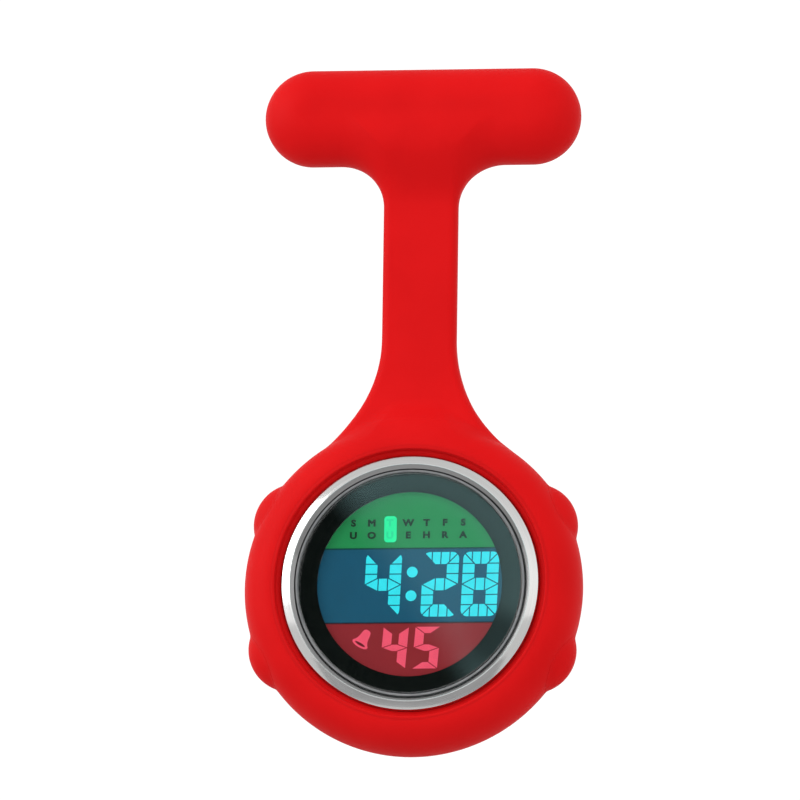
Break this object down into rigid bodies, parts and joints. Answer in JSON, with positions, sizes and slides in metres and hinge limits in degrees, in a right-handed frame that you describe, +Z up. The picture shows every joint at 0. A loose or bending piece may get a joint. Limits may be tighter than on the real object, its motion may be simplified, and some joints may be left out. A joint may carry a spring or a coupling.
{
  "type": "silicone fob watch",
  "caption": "Digital fob watch: a round watch head in a silicone jacket with side push buttons, on a flexible strap under a T-bar with a brooch pin.",
  "frame": {"origin": "middle of the flat back of the T-bar, on the plane that lies on the garment", "axes": "+Z up the watch from the dial to the bar, +X to the right as the dial is read, +Y backwards out of the bar's flat back"},
  "size_m": [0.0424, 0.0123, 0.0883],
  "materials": {
    "silicone": "matte red moulded silicone with a soft sheen",
    "bezel_steel": "polished steel",
    "back_steel": "circular brushed steel",
    "pin_steel": "nickel-plated steel",
    "spring_steel": "spring steel",
    "screw_steel": "turned steel",
    "brass": "plain brass",
    "case_plastic": "moulded black plastic",
    "frame_plastic": "moulded white plastic",
    "seal_rubber": "black rubber",
    "crystal_glass": "flat clear mineral glass",
    "mask_ink": "gloss black print",
    "display_film": "colour film in a green, a blue and a red band",
    "display_glass": "liquid crystal display glass",
    "light_guide": "translucent white acrylic",
    "led": "light emitting diode in a clear moulding",
    "board": "green solder mask",
    "chip": "black epoxy"
  },
  "bodies": {
    "bar": {"jacket_bar": "silicone", "pin_base_plate": "pin_steel", "pin_hinge_rivet": "pin_steel", "catch_body": "pin_steel"},
    "head": {"jacket_neck": "silicone", "jacket_ring": "silicone", "front_bezel": "bezel_steel", "case_body": "case_plastic", "crystal": "crystal_glass", "crystal_gasket": "frame_plastic", "case_back": "back_steel", "case_back_gasket": "seal_rubber", "case_back_screw_1": "screw_steel", "case_back_screw_2": "screw_steel", "case_back_screw_3": "screw_steel", "case_back_screw_4": "screw_steel", "dial_mask": "mask_ink", "colour_film": "display_film", "lcd_panel": "display_glass", "light_guide": "light_guide", "backlight_led_left": "led", "backlight_led_right": "led", "contact_strip_upper": "seal_rubber", "contact_strip_lower": "seal_rubber", "module_frame": "frame_plastic", "circuit_board": "board", "display_driver_chip": "chip", "timing_crystal": "screw_steel", "battery": "back_steel", "battery_clip": "spring_steel", "piezo_buzzer": "brass", "buzzer_spring": "spring_steel", "button_spring_upper_right": "spring_steel", "button_seal_upper_right": "seal_rubber", "contact_leaf_upper_right": "spring_steel", "button_spring_upper_left": "spring_steel", "button_seal_upper_left": "seal_rubber", "contact_leaf_upper_left": "spring_steel", "button_spring_lower_left": "spring_steel", "button_seal_lower_left": "seal_rubber", "contact_leaf_lower_left": "spring_steel", "button_spring_lower_right": "spring_steel", "button_seal_lower_right": "seal_rubber", "contact_leaf_lower_right": "spring_steel"},
    "tongue": {"pin_tongue": "pin_steel"},
    "roller": {"catch_roller": "pin_steel"},
    "button_upper_right": {"button_pad_upper_right": "silicone", "button_stem_upper_right": "screw_steel", "button_clip_upper_right": "spring_steel"},
    "button_upper_left": {"button_pad_upper_left": "silicone", "button_stem_upper_left": "screw_steel", "button_clip_upper_left": "spring_steel"},
    "button_lower_left": {"button_pad_lower_left": "silicone", "button_stem_lower_left": "screw_steel", "button_clip_lower_left": "spring_steel"},
    "button_lower_right": {"button_pad_lower_right": "silicone", "button_stem_lower_right": "screw_steel", "button_clip_lower_right": "spring_steel"}
  },
  "joints": [
    {"name": "neck_flex", "type": "hinge", "parent": "bar", "child": "head", "pos_m": [0, -0.0042, -0.0205], "axis": [-1, 0, 0], "range_deg": [-30, 120], "stiffness_Nm_per_rad": 0.0012, "deforming": ["jacket_neck"]},
    {"name": "pin_opening", "type": "hinge", "parent": "bar", "child": "tongue", "pos_m": [0.013, -0.0006, 0], "axis": [0, 0, -1], "range_deg": [0, 75]},
    {"name": "catch_turn", "type": "hinge", "parent": "bar", "child": "roller", "pos_m": [-0.0131, -0.0006, 0], "axis": [-1, 0, 0], "range_deg": [0, 110]},
    {"name": "press_upper_right", "type": "slide", "parent": "head", "child": "button_upper_right", "axis": [-0.8829, 0, -0.4695], "range_m": [0, 0.0007], "stiffness_N_per_m": 2500, "deforming": ["button_spring_upper_right"]},
    {"name": "press_upper_left", "type": "slide", "parent": "head", "child": "button_upper_left", "axis": [0.8829, 0, -0.4695], "range_m": [0, 0.0007], "stiffness_N_per_m": 2500, "deforming": ["button_spring_upper_left"]},
    {"name": "press_lower_left", "type": "slide", "parent": "head", "child": "button_lower_left", "axis": [0.8829, 0, 0.4695], "range_m": [0, 0.0007], "stiffness_N_per_m": 2500, "deforming": ["button_spring_lower_left"]},
    {"name": "press_lower_right", "type": "slide", "parent": "head", "child": "button_lower_right", "axis": [-0.8829, 0, 0.4695], "range_m": [0, 0.0007], "stiffness_N_per_m": 2500, "deforming": ["button_spring_lower_right"]}
  ]
}
